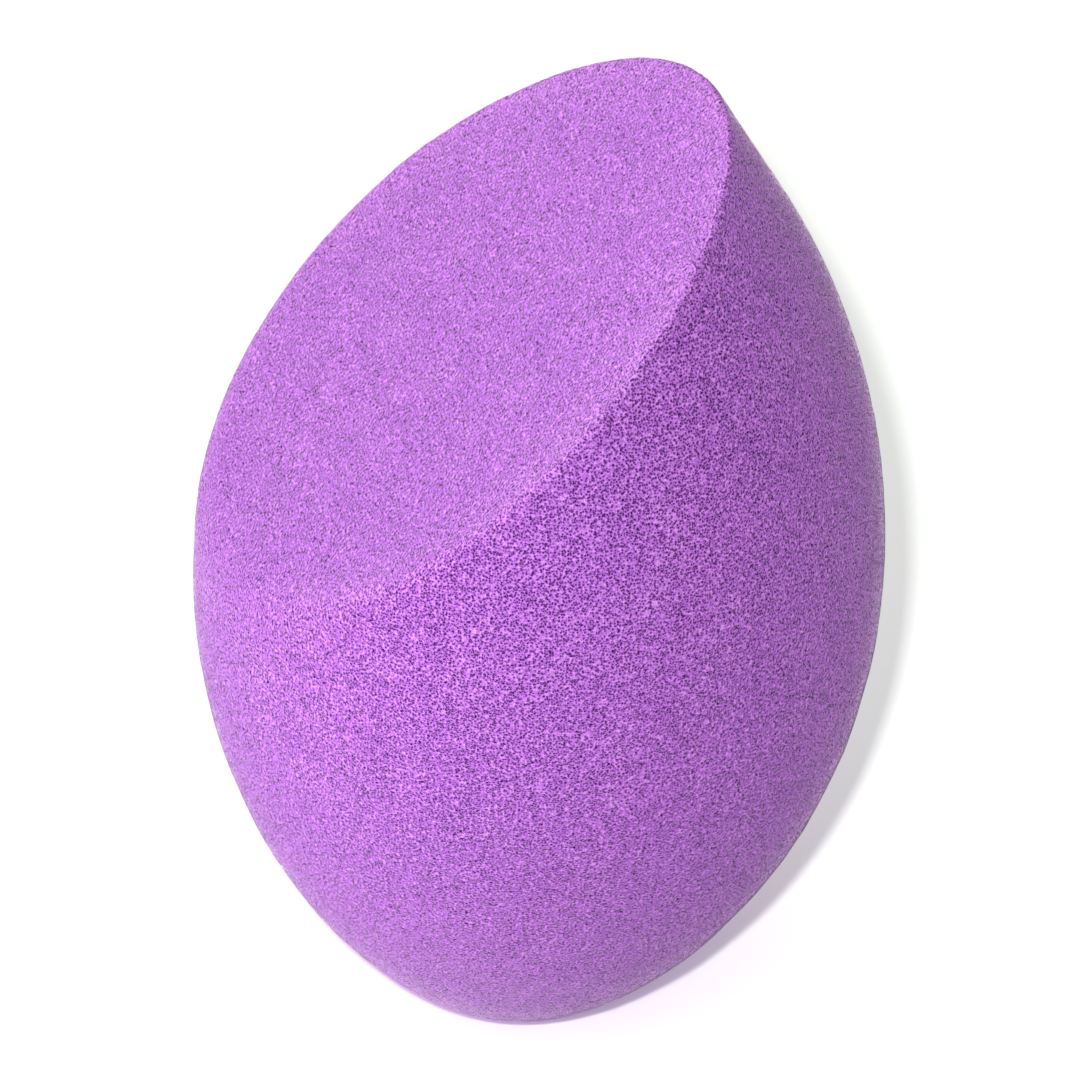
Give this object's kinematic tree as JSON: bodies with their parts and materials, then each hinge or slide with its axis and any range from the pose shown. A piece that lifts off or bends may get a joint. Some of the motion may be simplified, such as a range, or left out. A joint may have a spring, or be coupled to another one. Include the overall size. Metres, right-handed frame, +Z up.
{
  "type": "makeup sponge",
  "caption": "Egg-shaped block of fine open-cell foam with a rounded base and a flat slanted cut on its upper end, for dabbing and blending makeup.",
  "frame": {"origin": "centre of the flat foot that the sponge stands on", "axes": "+Z up along the egg's axis towards its tip, -X towards the side that the slanted cut faces, XZ is the plane of symmetry"},
  "size_m": [0.042, 0.042, 0.0661],
  "materials": {
    "purple_foam": "matte open-cell foam with fine dark pores"
  },
  "bodies": {
    "root": {"foam_sponge": "purple_foam"}
  },
  "joints": []
}
